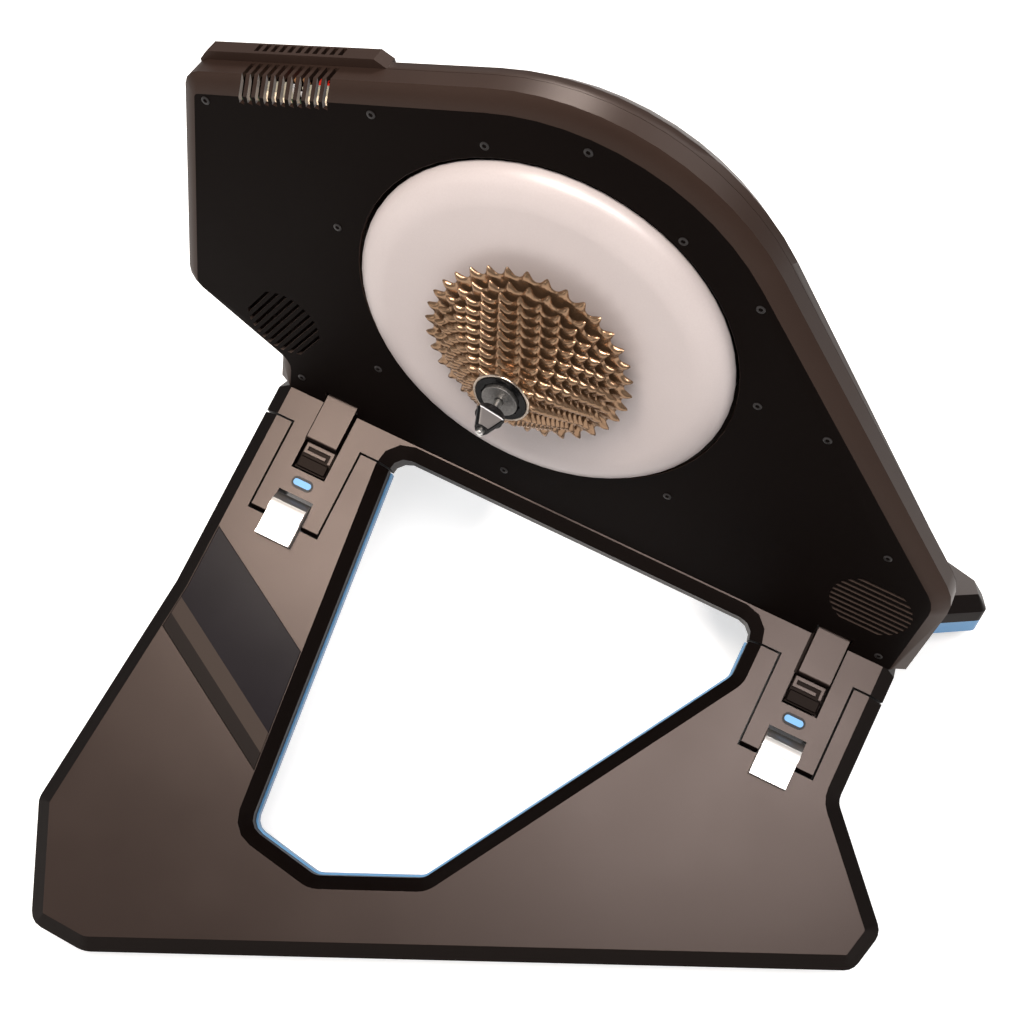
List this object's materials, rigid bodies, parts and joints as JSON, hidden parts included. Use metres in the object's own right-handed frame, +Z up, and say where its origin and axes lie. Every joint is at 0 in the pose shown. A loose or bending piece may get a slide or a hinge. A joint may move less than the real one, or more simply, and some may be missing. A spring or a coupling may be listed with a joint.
{
  "type": "direct drive bike trainer",
  "caption": "Direct drive bicycle trainer: a slim upright housing with a spinning disc, a sprocket cassette and a quick release, on two folding triangular wings with release levers.",
  "frame": {"origin": "on the floor plane, at the centre of the bounding box", "axes": "+X towards the bicycle's front, +Y towards its left, +Z up; the cassette is on the -Y side"},
  "size_m": [0.586, 0.752, 0.5321],
  "materials": {
    "shell": "fine grained black",
    "paint": "satin warm grey",
    "liner": "satin light blue",
    "mark": "light blue",
    "panel": "polished black with a light stripe",
    "rotor": "satin silver",
    "steel": "bright",
    "dark_steel": "dark",
    "cassette": "polished warm steel",
    "black_metal": "black anodised",
    "rubber": "matte",
    "board": "matte",
    "cream": "matte",
    "red": "satin",
    "magnet": "plated"
  },
  "bodies": {
    "stand": {"right_skirt": "paint", "right_rear_hinge_pin": "dark_steel", "right_rear_lock_mark": "mark", "right_front_hinge_pin": "dark_steel", "right_front_lock_mark": "mark", "left_skirt": "paint", "left_rear_hinge_pin": "dark_steel", "left_rear_lock_mark": "mark", "left_front_hinge_pin": "dark_steel", "left_front_lock_mark": "mark", "drive_side_shell": "shell", "far_side_shell": "shell", "control_board": "board", "board_capacitors": "cream", "board_connector": "red", "power_inlet": "black_metal", "axle": "dark_steel", "drive_end_cap": "dark_steel", "front_bearing": "steel", "rear_bearing": "steel", "stator_core": "dark_steel", "skewer_rod": "steel", "skewer_nut": "black_metal", "skewer_cam": "black_metal"},
    "rotor": {"rotor_cover": "rotor", "rotor_drum": "dark_steel", "rotor_magnet_ring": "magnet"},
    "cassette": {"sprocket_34": "cassette", "sprocket_30": "cassette", "sprocket_27": "cassette", "sprocket_25": "cassette", "sprocket_23": "cassette", "sprocket_21": "cassette", "sprocket_19": "cassette", "sprocket_17": "cassette", "sprocket_15": "cassette", "sprocket_13": "cassette", "sprocket_11": "cassette", "cassette_spacer_sleeve": "black_metal", "freehub_body": "dark_steel", "cassette_lockring": "black_metal"},
    "quick_release": {"quick_release_lever": "black_metal"},
    "right_wing": {"right_wing_frame": "paint", "right_wing_liner": "liner", "right_wing_panel": "panel", "right_wing_rear_foot": "rubber", "right_wing_front_foot": "rubber", "right_rear_knuckle": "steel", "right_front_knuckle": "steel"},
    "left_wing": {"left_wing_frame": "paint", "left_wing_liner": "liner", "left_wing_panel": "panel", "left_wing_rear_foot": "rubber", "left_wing_front_foot": "rubber", "left_rear_knuckle": "steel", "left_front_knuckle": "steel"},
    "right_rear_release": {"right_rear_release_lever": "shell"},
    "right_front_release": {"right_front_release_lever": "shell"},
    "left_rear_release": {"left_rear_release_lever": "shell"},
    "left_front_release": {"left_front_release_lever": "shell"}
  },
  "joints": [
    {"name": "rotor_spin", "type": "hinge", "parent": "stand", "child": "rotor", "pos_m": [-0.01579, 0, 0.36013], "axis": [0, 1, 0], "continuous": true},
    {"name": "cassette_spin", "type": "hinge", "parent": "rotor", "child": "cassette", "pos_m": [-0.01579, 0, 0.36013], "axis": [0, 1, 0], "continuous": true},
    {"name": "quick_release_turn", "type": "hinge", "parent": "stand", "child": "quick_release", "pos_m": [-0.01579, 0.0796, 0.36013], "axis": [0.7507, 0, 0.6607], "range_deg": [-170, 0]},
    {"name": "right_wing_fold", "type": "hinge", "parent": "stand", "child": "right_wing", "pos_m": [0.00156, -0.07612, 0.13728], "axis": [-0.9794, 0, 0.2019], "range_deg": [0, 109]},
    {"name": "left_wing_fold", "type": "hinge", "parent": "stand", "child": "left_wing", "pos_m": [0.00156, 0.07612, 0.13728], "axis": [0.9794, 0, -0.2019], "range_deg": [0, 109]},
    {"name": "right_rear_release_lift", "type": "hinge", "parent": "stand", "child": "right_rear_release", "pos_m": [-0.18194, -0.01171, 0.20797], "axis": [-0.9794, 0, 0.2019], "range_deg": [0, 12], "stiffness_Nm_per_rad": 1.2},
    {"name": "left_rear_release_lift", "type": "hinge", "parent": "stand", "child": "left_rear_release", "pos_m": [-0.1855, 0.04873, 0.19071], "axis": [0.9794, 0, -0.2019], "range_deg": [0, 12], "stiffness_Nm_per_rad": 1.2},
    {"name": "right_front_release_lift", "type": "hinge", "parent": "stand", "child": "right_front_release", "pos_m": [0.19807, -0.01171, 0.12962], "axis": [-0.9794, 0, 0.2019], "range_deg": [0, 12], "stiffness_Nm_per_rad": 1.2},
    {"name": "left_front_release_lift", "type": "hinge", "parent": "stand", "child": "left_front_release", "pos_m": [0.19451, 0.04873, 0.11236], "axis": [0.9794, 0, -0.2019], "range_deg": [0, 12], "stiffness_Nm_per_rad": 1.2}
  ]
}
